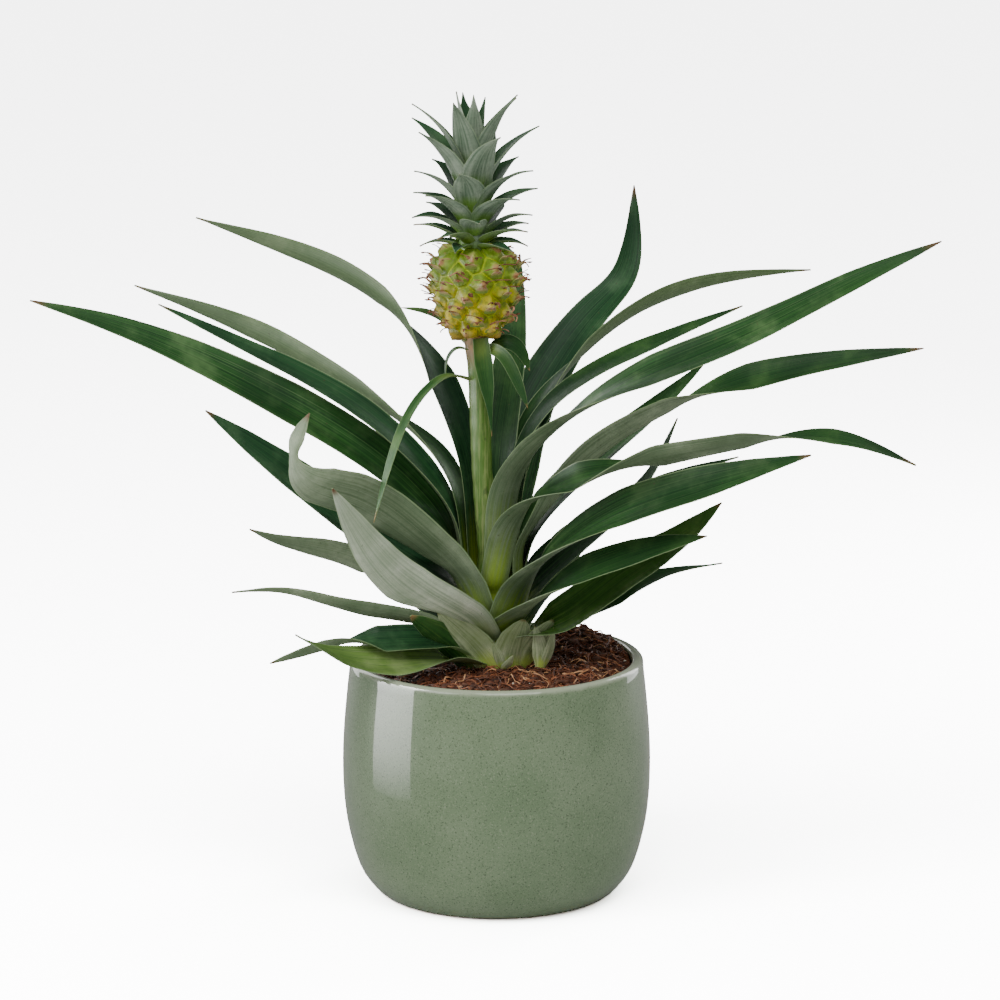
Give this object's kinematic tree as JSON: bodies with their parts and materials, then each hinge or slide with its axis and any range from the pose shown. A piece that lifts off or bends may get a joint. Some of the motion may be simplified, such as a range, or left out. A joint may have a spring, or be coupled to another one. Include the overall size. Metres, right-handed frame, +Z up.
{
  "type": "potted pineapple plant",
  "caption": "Fruiting pineapple plant with a rosette of long channelled leaves and a crowned fruit on a stalk, in a rounded glazed pot of soil.",
  "frame": {"origin": "centre of the pot's flat base, on the surface it stands on", "axes": "+Z up, +X to the plant's right across its longest spread, the front faces -Y"},
  "size_m": [0.458, 0.2516, 0.4178],
  "materials": {
    "pot_glaze": "glossy sage-green glaze with fine dark speckles, paler at the rim",
    "soil": "coarse matt potting soil of dark peat and reddish coir fibre",
    "leaf": "dark green upper side with fine lighter lines and a soft sheen, grey-green dusty underside, yellow-green base",
    "stalk": "satin yellow-green flower stalk and stock",
    "bract": "satin mid-green small leaves with dry brown tips",
    "fruit": "yellow-green skin of swollen eyes with pinkish-brown papery tips",
    "crown": "grey-green crown leaves with darker upper sides and dry brown tips"
  },
  "bodies": {
    "root": {"base_shoot_front": "bract", "base_shoot_right": "bract", "crown_core": "crown", "crown_tier_1": "crown", "crown_tier_2": "crown", "crown_tier_3": "crown", "crown_tier_4": "crown", "crown_tier_5": "crown", "crown_tier_6": "crown", "crown_tier_7": "crown", "crown_tier_8": "crown", "fruit": "fruit", "leaf_01_over_rim": "leaf", "leaf_02_low_front_left": "leaf", "leaf_03_low_back_left": "leaf", "leaf_04_narrow_left": "leaf", "leaf_05_narrow_right": "leaf", "leaf_06_low_back_right": "leaf", "leaf_07_broad_right": "leaf", "leaf_08_low_back": "leaf", "leaf_09_pale_front": "leaf", "leaf_10_short_left": "leaf", "leaf_11_low_front_right": "leaf", "leaf_12_dark_left": "leaf", "leaf_13_low_right": "leaf", "leaf_14_striped_right": "leaf", "leaf_15_mid_back": "leaf", "leaf_16_upright_right": "leaf", "leaf_17_hooked_left": "leaf", "leaf_18_mid_back": "leaf", "leaf_19_great_left": "leaf", "leaf_20_mid_right": "leaf", "leaf_21_upper_left": "leaf", "leaf_22_twisted_right": "leaf", "leaf_23_tall_right": "leaf", "leaf_24_front_right": "leaf", "leaf_25_pale_left": "leaf", "leaf_26_pale_right": "leaf", "leaf_27_high_left": "leaf", "leaf_28_great_right": "leaf", "leaf_29_behind_fruit": "leaf", "leaf_30_inner_right": "leaf", "pot": "pot_glaze", "soil": "soil", "stalk_bract_back": "bract", "stalk_bract_far_left": "bract", "stalk_bract_front": "bract", "stalk_bract_left": "bract", "stalk_bract_long": "bract", "stalk_bract_right": "bract", "stem": "stalk"}
  },
  "joints": []
}
